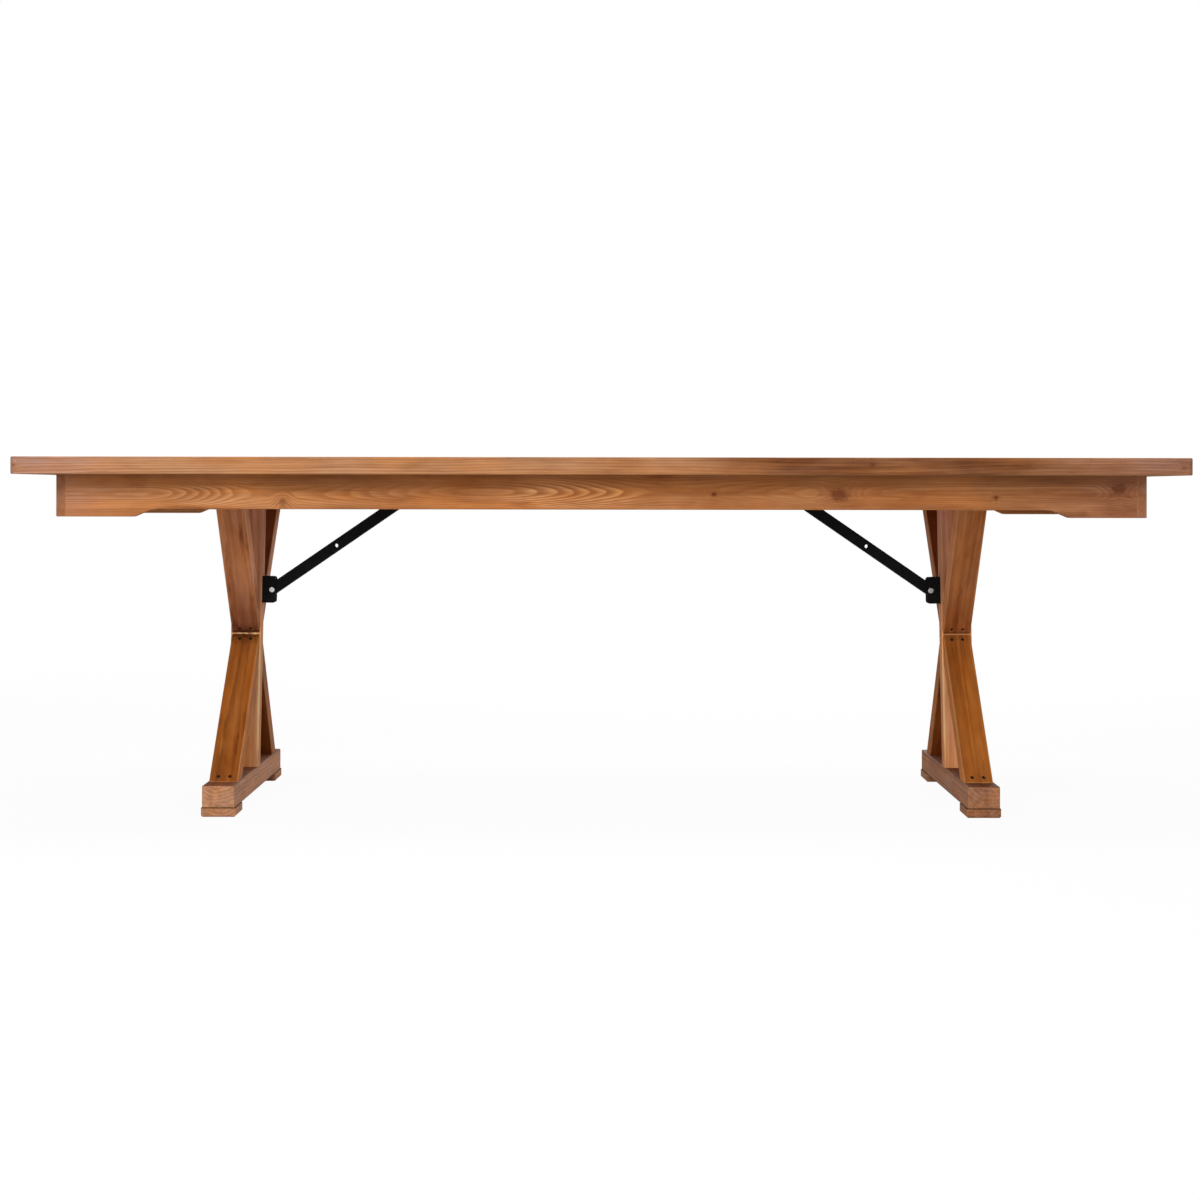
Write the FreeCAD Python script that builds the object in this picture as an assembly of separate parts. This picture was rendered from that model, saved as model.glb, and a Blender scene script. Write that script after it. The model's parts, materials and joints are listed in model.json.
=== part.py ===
import FreeCAD, Part
import math
import os

from FreeCAD import Vector

# Sawbuck folding table, in millimetres. +X runs along the top, +Z is up, and the origin lies on the
# floor under the middle of the top. The left leg frame is modelled; the right one is its mirror image.

# Tabletop
table_length = 2446.0
table_width = 1016.0
table_height = 762.0
top_thickness = 36.0
plank_count = 7
plank_bevel = 1.5
top_corner_radius = 12.0
top_edge_ease = 3.0

# Apron frame
end_overhang = 80.0
side_overhang = 76.0
apron_height = 89.0
apron_thickness = 25.0
end_apron_thickness = 20.0
apron_deep_length = 163.0
apron_step_run = 37.0
apron_rise = 16.0
step_round_radius = 15.0
step_hollow_radius = 70.0
apron_ease = 2.0
corner_block_size = 45.0
corner_block_height = 70.0
end_screw_inset = 22.0

# Battens under the planks
hinge_batten_width = 122.0
hinge_batten_thickness = 27.0
hinge_batten_lip = 4.0
centre_batten_width = 90.0
centre_batten_thickness = 24.0
batten_end_margin = 22.0

# Leg frame
leg_inset = 338.6
crossing_share = 0.5167
leg_rake_degrees = 1.24
fold_degrees = 91.2
rail_width = 69.0
rail_height = 47.0
rail_end_gap = 33.0
pad_width = 73.0
pad_length = 102.0
pad_height = 19.5
pad_ease = 3.0
post_width = 68.0
post_depth = 40.0
arm_width = 62.0
arm_thickness = 45.0
lower_toe_setback = 67.0
upper_toe_setback = 77.0
timber_ease = 2.5
arm_screw_setback = 15.0
arm_screw_spacing = 24.6
upper_screw_inset = 46.0
post_screw_spacing = 30.0
pad_screw_spacing = 56.0

# Butt hinges
hinge_inset = 139.0
hinge_length = 89.0
leaf_width = 38.0
leaf_thickness = 2.5
knuckle_radius = 5.0
knuckle_count = 5
knuckle_gap = 0.4
hinge_pin_radius = 2.5
hinge_screw_pitch = 30.0

# Brace and its brackets
bracket_thickness = 2.5
bracket_projection = 30.0
bracket_height = 60.0
bracket_corner_radius = 6.0
bracket_screw_spacing = 42.0
pivot_drop = 257.7
pivot_standoff = 22.0
seat_drop = 22.0
brace_length = 417.0
brace_overhang = 12.0
brace_side = 25.0
brace_wall = 1.5
brace_edge_radius = 2.0
store_hole_gap = 46.2
store_hole_radius = 4.5
cheek_gap = 0.5
top_bracket_depth = 36.0
top_bracket_margin = 21.0
top_bracket_ear = 26.0
slot_radius = 5.0
slot_fall_degrees = 19.0

# Bolts and screws
bolt_radius = 4.0
bolt_head_radius = 6.6
bolt_head_height = 4.6
bolt_head_round = 1.5
hex_radius = 7.5
hex_height = 5.3
lock_nut_height = 8.0
bolt_tail = 3.0
wing_hub_radius = 6.5
wing_hub_height = 8.0
wing_reach = 14.0
wing_thickness = 3.0
wing_height = 11.0
frame_screw_head_radius = 4.2
frame_screw_head_height = 3.2
frame_screw_radius = 2.2
frame_screw_length = 52.0
frame_screw_sink = 3.0
end_screw_length = 60.0
post_screw_length = 84.0
pad_screw_length = 36.0
pad_screw_sink = 5.0
batten_screw_length = 44.0
small_screw_head_radius = 4.0
small_screw_head_height = 2.0
small_screw_radius = 1.8
small_screw_length = 24.0
drive_reach_share = 0.62
drive_width = 1.1
drive_depth = 1.3

# Clearances
screw_clearance = 0.15
turning_clearance = 0.06
bolt_clearance = 0.25
knuckle_clearance = 0.4
bolt_head_gap = 0.4
overrun = 5.0
same_level_share = 0.001

# Derived heights and places
top_underside = table_height - top_thickness
apron_bottom = top_underside - apron_height
hinge_batten_bottom = top_underside - hinge_batten_thickness
centre_batten_bottom = top_underside - centre_batten_thickness
foot_rail_top = pad_height + rail_height
top_rail_bottom = hinge_batten_bottom - rail_height
post_height = top_rail_bottom - foot_rail_top
crossing_height = foot_rail_top + crossing_share * post_height
pivot_height = top_underside - pivot_drop
apron_length = table_length - 2 * end_overhang
apron_width = table_width - 2 * side_overhang
apron_inner_half = apron_width / 2 - apron_thickness
plank_width = table_width / plank_count
leg_spread = apron_length / 2 - leg_inset
rail_half = apron_inner_half - rail_end_gap
rake_slope = math.tan(math.radians(leg_rake_degrees))
cheek_inner = brace_side / 2 + cheek_gap
cheek_outer = cheek_inner + bracket_thickness


def leg_x(height):
    """Middle of the raked left leg frame at a height."""
    return -leg_spread - rake_slope * (crossing_height - height)


top_rail_x = leg_x(top_rail_bottom + rail_height / 2)
foot_rail_x = leg_x(pad_height + rail_height / 2)
hinge_x = top_rail_x + rail_width / 2 + knuckle_radius + knuckle_clearance
hinge_z = hinge_batten_bottom - knuckle_radius - knuckle_clearance
post_face_x = leg_x(pivot_height) + post_width / 2
pivot_x = post_face_x + pivot_standoff * math.cos(math.radians(leg_rake_degrees))
pivot_z = pivot_height - pivot_standoff * math.sin(math.radians(leg_rake_degrees))
seat_z = top_underside - seat_drop
brace_degrees = math.degrees(math.asin((seat_z - pivot_z) / brace_length))
seat_x = pivot_x + brace_length * math.cos(math.radians(brace_degrees))


def folded(x, z):
    """Place of a point of the left leg frame once the frame is folded."""
    angle = math.radians(fold_degrees)
    dx = x - hinge_x
    dz = z - hinge_z
    return (
        hinge_x + dx * math.cos(angle) - dz * math.sin(angle),
        hinge_z + dx * math.sin(angle) + dz * math.cos(angle),
    )


folded_pivot_x, folded_pivot_z = folded(pivot_x, pivot_z)
store_x = seat_x + store_hole_gap
store_z = folded_pivot_z
store_hole_distance = store_x - folded_pivot_x


def block(x0, x1, y0, y1, z0, z1):
    return Part.makeBox(x1 - x0, y1 - y0, z1 - z0, Vector(x0, y0, z0))


def rod(radius, start, end):
    axis = end.sub(start)
    return Part.makeCylinder(radius, axis.Length, start, axis)


def cross_rod(radius, x, z, y0, y1):
    """A rod across the table, from front to rear."""
    return rod(radius, Vector(x, y0, z), Vector(x, y1, z))


def prism(points, along):
    return Part.Face(Part.makePolygon(points + points[:1])).extrude(along)


def ease_edges(shape, radius, chosen):
    edges = [edge for edge in shape.Edges if chosen(edge)]
    return shape.makeFillet(radius, edges)


def at_level(edge, height):
    return all(abs(vertex.Z - height) < overrun * same_level_share for vertex in edge.Vertexes)


def mirrored(shape):
    return shape.mirror(Vector(0, 0, 0), Vector(1, 0, 0))


def flipped(shape):
    """The same shape on the other side of the middle of the table's width."""
    return shape.mirror(Vector(0, 0, 0), Vector(0, 1, 0))


def bored(shape, tools):
    for tool in tools:
        shape = shape.cut(tool)
    return shape


def cross_drive(head_radius, place, into):
    """The cross-shaped recess that a driver turns, in the face of a screw head."""
    reach = drive_reach_share * head_radius
    half = drive_width / 2
    one = block(-reach, reach, -half, half, -overrun, drive_depth)
    other = block(-half, half, -reach, reach, -overrun, drive_depth)
    cross = one.fuse(other).removeSplitter()
    cross.Placement = FreeCAD.Placement(place, FreeCAD.Rotation(Vector(0, 0, 1), into))
    return cross


class Screw:
    """A cylinder-head screw driven into wood, and the hole that takes it."""

    def __init__(self, place, into, sink, length):
        self.place = place
        self.into = Vector(into).normalize()
        self.sink = sink
        self.length = length

    def point(self, depth):
        return self.place + self.into * depth

    def solid(self):
        under_head = self.sink + frame_screw_head_height
        head = rod(frame_screw_head_radius, self.point(self.sink), self.point(under_head))
        shank = rod(frame_screw_radius, self.point(self.sink), self.point(self.length))
        drive = cross_drive(frame_screw_head_radius, self.point(self.sink), self.into)
        return head.fuse(shank).removeSplitter().cut(drive)

    def hole(self):
        under_head = self.sink + frame_screw_head_height
        mouth = self.point(-overrun)
        end = self.point(self.length + screw_clearance)
        wide = rod(frame_screw_head_radius + screw_clearance, mouth, self.point(under_head))
        narrow = rod(frame_screw_radius + screw_clearance, mouth, end)
        return wide.fuse(narrow)


class FlatScrew:
    """A countersunk screw through sheet metal into wood, and the hole that takes it."""

    def __init__(self, place, into):
        self.place = place
        self.into = Vector(into).normalize()

    def cone_and_shank(self, extra):
        head = Part.makeCone(
            small_screw_head_radius + extra,
            small_screw_radius + extra,
            small_screw_head_height,
            self.place,
            self.into,
        )
        tip = self.place + self.into * (small_screw_length + extra)
        return head.fuse(rod(small_screw_radius + extra, self.place, tip)).removeSplitter()

    def solid(self):
        drive = cross_drive(small_screw_head_radius, self.place, self.into)
        return self.cone_and_shank(0).cut(drive)

    def hole(self):
        outside = self.place - self.into * overrun
        mouth = rod(small_screw_head_radius + screw_clearance, outside, self.place)
        return self.cone_and_shank(screw_clearance).fuse(mouth)


def solids(screws):
    return [screw.solid() for screw in screws]


def holes(screws):
    return [screw.hole() for screw in screws]


# Places of the screws that join pieces of one body

def arm_screws(start, end):
    """Two screws square to a front arm's outer face, a little way along it from one of its ends."""
    start_y, start_z = start
    end_y, end_z = end
    run = math.hypot(end_y - start_y, end_z - start_z)
    along_y = (end_y - start_y) / run
    along_z = (end_z - start_z) / run
    inward = Vector(0, abs(along_z), -along_y * along_z / abs(along_z))
    y = start_y + along_y * arm_screw_setback
    z = start_z + along_z * arm_screw_setback
    screws = []
    for side in (-1, 1):
        x = leg_x(z) + side * arm_screw_spacing / 2
        screws.append(Screw(Vector(x, y, z), inward, frame_screw_sink, frame_screw_length))
    return screws


def rail_screws(toe_y):
    """Two screws down through the top rail into the toe of the front upper arm."""
    screws = []
    for side in (-1, 1):
        x = top_rail_x + side * arm_screw_spacing / 2
        place = Vector(x, toe_y + upper_screw_inset, hinge_batten_bottom)
        screws.append(Screw(place, (0, 0, -1), pad_screw_sink, post_screw_length))
    return screws


arm_tip = (-post_depth / 2, crossing_height)
lower_toe = (lower_toe_setback - rail_half, foot_rail_top)
upper_toe = (upper_toe_setback - rail_half, top_rail_bottom)
lower_arm_screws = arm_screws(lower_toe, arm_tip) + arm_screws(arm_tip, lower_toe)
upper_arm_screws = arm_screws(arm_tip, upper_toe) + rail_screws(upper_toe[0])


def post_screws():
    """Screws through both rails into the ends of the post."""
    screws = []
    for x, z, upward in ((foot_rail_x, pad_height, 1), (top_rail_x, hinge_batten_bottom, -1)):
        for side in (-1, 1):
            place = Vector(x + side * post_screw_spacing / 2, 0, z)
            screws.append(Screw(place, (0, 0, upward), pad_screw_sink, post_screw_length))
    return screws


pad_centre_y = rail_half - pad_length / 2


def pad_screws():
    """Screws up through the pads into the foot rail."""
    screws = []
    for end in (-1, 1):
        for side in (-1, 1):
            y = end * pad_centre_y + side * pad_screw_spacing / 2
            screws.append(Screw(Vector(foot_rail_x, y, 0), (0, 0, 1), pad_screw_sink, pad_screw_length))
    return screws


def batten_screws():
    """One screw up through each batten into each plank."""
    batten_half = apron_inner_half - batten_end_margin
    screws = []
    for x, z in (
        (hinge_batten_x, hinge_batten_bottom),
        (-hinge_batten_x, hinge_batten_bottom),
        (0, centre_batten_bottom),
    ):
        for number in range(plank_count):
            y = (number - (plank_count - 1) / 2) * plank_width
            y = max(-batten_half, min(batten_half, y))
            screws.append(Screw(Vector(x, y, z), (0, 0, 1), frame_screw_sink, batten_screw_length))
    return screws


def end_board_screws():
    """Two screws through each end board into the end of each long apron board."""
    screws = []
    for end in (-1, 1):
        for side in (-1, 1):
            y = side * (apron_width - apron_thickness) / 2
            for z in (apron_bottom + end_screw_inset, top_underside - end_screw_inset):
                face = Vector(end * apron_length / 2, y, z)
                screws.append(Screw(face, (-end, 0, 0), frame_screw_sink, end_screw_length))
    return screws


# Tabletop

hinge_batten_x = top_rail_x - rail_width / 2 - hinge_batten_lip + hinge_batten_width / 2


def plank(number):
    """One plank; the outer two have the rounded corners and the eased outer edge of the top."""
    y0 = -table_width / 2 + number * plank_width
    y1 = y0 + plank_width
    board = block(-table_length / 2, table_length / 2, y0, y1, top_underside, table_height)
    outer = {0: y0, plank_count - 1: y1}.get(number)

    def upright_corner(edge):
        upright = abs(edge.Vertexes[0].Z - edge.Vertexes[-1].Z) > top_thickness / 2
        return upright and outer is not None and abs(edge.CenterOfMass.y - outer) < plank_bevel

    if outer is not None:
        board = ease_edges(board, top_corner_radius, upright_corner)
    seams = [y for y in (y0, y1) if y != outer]

    def at_seam(edge):
        on_seam = any(abs(edge.CenterOfMass.y - y) < plank_bevel for y in seams)
        return on_seam and at_level(edge, table_height)

    def outer_rim(edge):
        on_seam = any(abs(edge.CenterOfMass.y - y) < plank_bevel for y in seams)
        flat = at_level(edge, table_height) or at_level(edge, top_underside)
        return flat and not on_seam

    board = ease_edges(board, top_edge_ease, outer_rim)
    long_seams = [edge for edge in board.Edges if at_seam(edge) and edge.Length > table_length / 2]
    return board.makeChamfer(plank_bevel, long_seams)


def long_apron():
    """Front apron: deep at both ends, with a smooth step up to the shallower middle."""
    half = apron_length / 2 - end_apron_thickness
    step_foot = apron_length / 2 - apron_deep_length
    step_top = step_foot - apron_step_run
    y = -apron_width / 2
    outline = [
        (-half, apron_bottom),
        (-step_foot, apron_bottom),
        (-step_top, apron_bottom + apron_rise),
        (step_top, apron_bottom + apron_rise),
        (step_foot, apron_bottom),
        (half, apron_bottom),
        (half, top_underside),
        (-half, top_underside),
    ]
    board = prism([Vector(x, y, z) for x, z in outline], Vector(0, apron_thickness, 0))

    def across_at(place):
        def chosen(edge):
            across = abs(edge.Vertexes[0].Y - edge.Vertexes[-1].Y) > apron_ease
            return across and abs(abs(edge.CenterOfMass.x) - place) < apron_ease
        return chosen

    board = ease_edges(board, step_hollow_radius, across_at(step_top))
    board = ease_edges(board, step_round_radius, across_at(step_foot))

    def lower_edge(edge):
        lengthwise = abs(edge.Vertexes[0].Y - edge.Vertexes[-1].Y) < apron_ease
        low = edge.CenterOfMass.z < apron_bottom + apron_height / 2
        sloped_or_level = abs(edge.Vertexes[0].X - edge.Vertexes[-1].X) > apron_ease
        return lengthwise and low and sloped_or_level

    return ease_edges(board, apron_ease, lower_edge)


def end_apron():
    """Left end board, which laps the ends of both long boards."""
    x0 = -apron_length / 2
    x1 = x0 + end_apron_thickness
    half = apron_width / 2
    board = block(x0, x1, -half, half, apron_bottom, top_underside)

    def eased(edge):
        upright = abs(edge.Vertexes[0].Z - edge.Vertexes[-1].Z) > apron_ease
        outside = edge.CenterOfMass.x < x0 + apron_ease
        return (upright and outside) or at_level(edge, apron_bottom)

    return ease_edges(board, apron_ease, eased)


def corner_blocks():
    """Three-sided blocks glued in the four inner corners of the apron frame."""
    corner = Vector(end_apron_thickness - apron_length / 2, -apron_inner_half, top_underside)
    along_end = corner + Vector(0, corner_block_size, 0)
    along_side = corner + Vector(corner_block_size, 0, 0)
    front_left = prism([corner, along_end, along_side], Vector(0, 0, -corner_block_height))
    left = [front_left, flipped(front_left)]
    return left + [mirrored(piece) for piece in left]


def batten(x, width, thickness):
    bottom = top_underside - thickness
    half = apron_inner_half
    board = block(x - width / 2, x + width / 2, -half, half, bottom, top_underside)

    def lower_long(edge):
        return at_level(edge, bottom) and edge.Length > apron_inner_half

    return ease_edges(board, apron_ease, lower_long)


# Leg frame

def rail(x, bottom, rounded_top):
    """A level rail, eased at its ends and along its upper or its lower edges."""
    x0 = x - rail_width / 2
    x1 = x + rail_width / 2
    bar = block(x0, x1, -rail_half, rail_half, bottom, bottom + rail_height)
    eased_level = bottom + rail_height if rounded_top else bottom

    def eased(edge):
        upright = abs(edge.Vertexes[0].Z - edge.Vertexes[-1].Z) > rail_height / 2
        return upright or at_level(edge, eased_level)

    return ease_edges(bar, timber_ease, eased)


def foot_pads():
    """Flat pads under both ends of the foot rail, with their lower edges eased."""
    x0 = foot_rail_x - pad_width / 2
    pad = block(x0, x0 + pad_width, -rail_half, pad_length - rail_half, 0, pad_height)
    pad = pad.makeChamfer(pad_ease, [edge for edge in pad.Edges if at_level(edge, 0)])
    return [pad, flipped(pad)]


def post():
    """Raked centre post between the rails."""
    y = -post_depth / 2
    corners = []
    for z, sides in ((foot_rail_top, (-1, 1)), (top_rail_bottom, (1, -1))):
        for side in sides:
            corners.append(Vector(leg_x(z) + side * post_width / 2, y, z))
    bar = prism(corners, Vector(0, post_depth, 0))
    return ease_edges(bar, timber_ease, lambda edge: edge.Length > post_height / 2)


def arm(toe, tip):
    """Front half arm: its outer face runs from toe to tip, cut level on its rail and plumb on the post."""
    toe_y, toe_z = toe
    tip_y, tip_z = tip
    run = math.hypot(tip_y - toe_y, tip_z - toe_z)
    level_cut = arm_thickness * run / abs(tip_z - toe_z)
    plumb_cut = arm_thickness * run / abs(tip_y - toe_y)
    root_z = tip_z - plumb_cut if tip_z > toe_z else tip_z + plumb_cut
    outline = [(tip_y, tip_z), (toe_y, toe_z), (toe_y + level_cut, toe_z), (tip_y, root_z)]
    corners = [Vector(leg_x(z) - arm_width / 2, y, z) for y, z in outline]
    bar = prism(corners, Vector(arm_width, 0, 0))
    return ease_edges(bar, timber_ease, lambda edge: edge.Length > run / 2)


# Butt hinges, two to a leg frame

knuckle_pitch = hinge_length / knuckle_count


def knuckles(y_middle, moving):
    """Barrel segments of one leaf: the odd ones belong to the moving leaf."""
    barrels = []
    for number in range(knuckle_count):
        if (number % 2 == 1) == moving:
            y0 = y_middle - hinge_length / 2 + number * knuckle_pitch + knuckle_gap / 2
            y1 = y0 + knuckle_pitch - knuckle_gap
            barrels.append(cross_rod(knuckle_radius, hinge_x, hinge_z, y0, y1))
    return barrels


def knuckle_notches(y_middle, moving):
    """Room in one leaf's plate for the other leaf's barrels."""
    reach = knuckle_radius + knuckle_clearance
    x0 = hinge_x - reach - overrun
    x1 = hinge_x + reach
    z0 = hinge_z - reach
    z1 = hinge_z + reach + overrun
    notches = []
    for number in range(knuckle_count):
        if (number % 2 == 1) != moving:
            y0 = y_middle - hinge_length / 2 + number * knuckle_pitch - knuckle_gap / 2
            y1 = y0 + knuckle_pitch + knuckle_gap
            notches.append(block(x0, x1, y0, y1, z0, z1))
    return notches


def leaf_screws(y_middle, moving):
    screws = []
    for number in (-1, 0, 1):
        y = y_middle + number * hinge_screw_pitch
        depth = leaf_width / 2 + (knuckle_radius / 2 if number else -knuckle_radius / 2)
        if moving:
            face = Vector(top_rail_x + rail_width / 2 + leaf_thickness, y, hinge_z - depth)
            screws.append(FlatScrew(face, (-1, 0, 0)))
        else:
            face = Vector(hinge_x + depth, y, hinge_batten_bottom - leaf_thickness)
            screws.append(FlatScrew(face, (0, 0, 1)))
    return screws


def leaf(y_middle, moving):
    y0 = y_middle - hinge_length / 2
    y1 = y_middle + hinge_length / 2
    if moving:
        face = top_rail_x + rail_width / 2
        plate = block(face, face + leaf_thickness, y0, y1, hinge_z - leaf_width, hinge_z)
        bore_radius = hinge_pin_radius + turning_clearance
    else:
        top = hinge_batten_bottom
        plate = block(hinge_x, hinge_x + leaf_width, y0, y1, top - leaf_thickness, top)
        bore_radius = hinge_pin_radius
    plate = bored(plate, knuckle_notches(y_middle, moving))
    plate = plate.multiFuse(knuckles(y_middle, moving)).removeSplitter()
    bore = cross_rod(bore_radius, hinge_x, hinge_z, y0 - overrun, y1 + overrun)
    return bored(plate, [bore] + holes(leaf_screws(y_middle, moving)))


def hinge_pin(y_middle):
    half = hinge_length / 2
    return cross_rod(hinge_pin_radius, hinge_x, hinge_z, y_middle - half, y_middle + half)


hinge_middles = (hinge_inset - rail_half, rail_half - hinge_inset)
fixed_leaf_screws = [screw for y in hinge_middles for screw in leaf_screws(y, False)]
moving_leaf_screws = [screw for y in hinge_middles for screw in leaf_screws(y, True)]


# Brace, its brackets and bolts

def on_post(shape):
    """Lays a shape drawn against an upright face at the origin on the raked face of the post."""
    shape.rotate(Vector(0, 0, 0), Vector(0, 1, 0), leg_rake_degrees)
    shape.translate(Vector(post_face_x, 0, pivot_height))
    return shape


def post_bracket_screws():
    screws = []
    lean = math.radians(leg_rake_degrees)
    for side in (-1, 1):
        rise = side * bracket_screw_spacing / 2
        x = post_face_x + bracket_thickness * math.cos(lean) + rise * math.sin(lean)
        z = pivot_height - bracket_thickness * math.sin(lean) + rise * math.cos(lean)
        screws.append(FlatScrew(Vector(x, 0, z), (-math.cos(lean), 0, math.sin(lean))))
    return screws


def post_bracket():
    """U bracket of bent sheet on the inner face of the post."""
    half = bracket_height / 2
    body = block(0, bracket_projection, -cheek_outer, cheek_outer, -half, half)

    def outer_corner(edge):
        across = abs(edge.Vertexes[0].Y - edge.Vertexes[-1].Y) > cheek_outer
        return across and edge.CenterOfMass.x > bracket_projection / 2

    body = ease_edges(body, bracket_corner_radius, outer_corner)
    room = block(
        bracket_thickness, bracket_projection + overrun,
        -cheek_inner, cheek_inner,
        -half - overrun, half + overrun,
    )
    body = on_post(body.cut(room))
    y1 = cheek_outer + overrun
    pivot_hole = cross_rod(bolt_radius + screw_clearance, pivot_x, pivot_z, -y1, y1)
    return bored(body, [pivot_hole] + holes(post_bracket_screws()))


def hexagon(radius, x, z, y0, y1):
    corners = []
    for number in range(6):
        angle = math.radians(60 * number)
        corners.append(Vector(x + radius * math.cos(angle), y0, z + radius * math.sin(angle)))
    return prism(corners, Vector(0, y1 - y0, 0))


def pivot_bolt():
    """Round-head bolt through the post bracket and the brace."""
    seat = -cheek_outer
    middle = seat - bolt_head_height / 2
    head = cross_rod(bolt_head_radius, pivot_x, pivot_z, seat - bolt_head_height, seat)
    head = ease_edges(head, bolt_head_round, lambda edge: edge.CenterOfMass.y < middle)
    tail = cheek_outer + lock_nut_height + bolt_tail
    return head.fuse(cross_rod(bolt_radius, pivot_x, pivot_z, seat, tail)).removeSplitter()


def pivot_nut():
    """Lock nut with a round collar at its outer end."""
    seat = cheek_outer
    collar_start = seat + hex_height
    end = seat + lock_nut_height
    collar_radius = bolt_head_radius - bolt_head_round
    bore_radius = bolt_radius + screw_clearance
    nut = hexagon(hex_radius, pivot_x, pivot_z, seat, collar_start)
    collar = cross_rod(collar_radius, pivot_x, pivot_z, collar_start, end)
    bore = cross_rod(bore_radius, pivot_x, pivot_z, seat - overrun, end + overrun)
    return nut.fuse(collar).cut(bore).removeSplitter()


def along_brace(shape):
    """Turns a shape drawn along +X from the pivot to the slope of the standing brace."""
    shape.rotate(Vector(0, 0, 0), Vector(0, 1, 0), -brace_degrees)
    shape.translate(Vector(pivot_x, 0, pivot_z))
    return shape


def brace_tube():
    """Square tube with holes for the pivot bolt, the store position and the cross bolt."""
    half = brace_side / 2
    inner = half - brace_wall
    end = brace_length + brace_overhang
    tube = block(-brace_overhang, end, -half, half, -half, half)
    tube = ease_edges(tube, brace_edge_radius, lambda edge: edge.Length > brace_length)
    tube = tube.cut(block(-brace_overhang - overrun, end + overrun, -inner, inner, -inner, inner))
    for radius, x in (
        (bolt_radius + bolt_clearance, 0),
        (store_hole_radius, store_hole_distance),
        (bolt_radius + screw_clearance, brace_length),
    ):
        tube = tube.cut(cross_rod(radius, x, 0, -half - overrun, half + overrun))
    return along_brace(tube)


def cross_bolt():
    """Hexagon-head bolt through the upper end of the brace; its shank drops out of the open slots."""
    seat = -cheek_outer - bolt_head_gap
    tail = cheek_outer + bolt_head_gap + wing_hub_height + bolt_tail
    head = hexagon(hex_radius, seat_x, seat_z, seat - hex_height, seat)
    return head.fuse(cross_rod(bolt_radius, seat_x, seat_z, seat, tail)).removeSplitter()


def wing_nut():
    """Wing nut on the cross bolt: a hub with two raised wings."""
    seat = cheek_outer + bolt_head_gap
    hub = cross_rod(wing_hub_radius, seat_x, seat_z, seat, seat + wing_hub_height)
    half = wing_thickness / 2
    wings = block(
        seat_x - wing_reach, seat_x + wing_reach,
        seat, seat + wing_height,
        seat_z - half, seat_z + half,
    )

    def upright_end(edge):
        return abs(edge.Vertexes[0].Z - edge.Vertexes[-1].Z) > half

    wings = ease_edges(wings, wing_thickness, upright_end)
    room = block(
        seat_x - wing_hub_radius, seat_x + wing_hub_radius,
        seat + wing_hub_height, seat + wing_height + overrun,
        seat_z - wing_thickness, seat_z + wing_thickness,
    )
    bore_radius = bolt_radius + turning_clearance
    bore = cross_rod(bore_radius, seat_x, seat_z, seat - overrun, seat + wing_height + overrun)
    return hub.fuse(wings.cut(room)).removeSplitter().cut(bore)


top_bracket_start = seat_x - top_bracket_margin
top_bracket_end = store_x + top_bracket_margin


def top_bracket_screws():
    screws = []
    face_z = top_underside - bracket_thickness
    for x in (top_bracket_start - top_bracket_ear / 2, top_bracket_end + top_bracket_ear / 2):
        screws.append(FlatScrew(Vector(x, 0, face_z), (0, 0, 1)))
    return screws


def top_bracket():
    """U bracket under the middle plank: open slots for standing, plain holes for the folded brace."""
    bottom = top_underside - top_bracket_depth
    web_bottom = top_underside - bracket_thickness
    web = block(
        top_bracket_start - top_bracket_ear, top_bracket_end + top_bracket_ear,
        -cheek_outer, cheek_outer, web_bottom, top_underside,
    )
    body = block(top_bracket_start, top_bracket_end, -cheek_outer, cheek_outer, bottom, top_underside)

    def lower_corner(edge):
        across = abs(edge.Vertexes[0].Y - edge.Vertexes[-1].Y) > cheek_outer
        return across and edge.CenterOfMass.z < bottom + bracket_thickness

    body = ease_edges(body, bracket_corner_radius, lower_corner)
    room = block(
        top_bracket_start - overrun, top_bracket_end + overrun,
        -cheek_inner, cheek_inner, bottom - overrun, web_bottom,
    )
    body = body.cut(room).fuse(web).removeSplitter()
    y0 = -cheek_outer - overrun
    y1 = cheek_outer + overrun
    slot = block(0, top_bracket_end - seat_x, y0, y1, -slot_radius, slot_radius)
    slot.rotate(Vector(0, 0, 0), Vector(0, 1, 0), slot_fall_degrees)
    slot.translate(Vector(seat_x, 0, seat_z))
    seat = cross_rod(slot_radius, seat_x, seat_z, y0, y1)
    store = cross_rod(store_hole_radius, store_x, store_z, y0, y1)
    return bored(body, [slot, seat, store] + holes(top_bracket_screws()))


# All pieces by name

def both_sides(screws):
    left = solids(screws)
    return left + [mirrored(piece) for piece in left]


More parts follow.
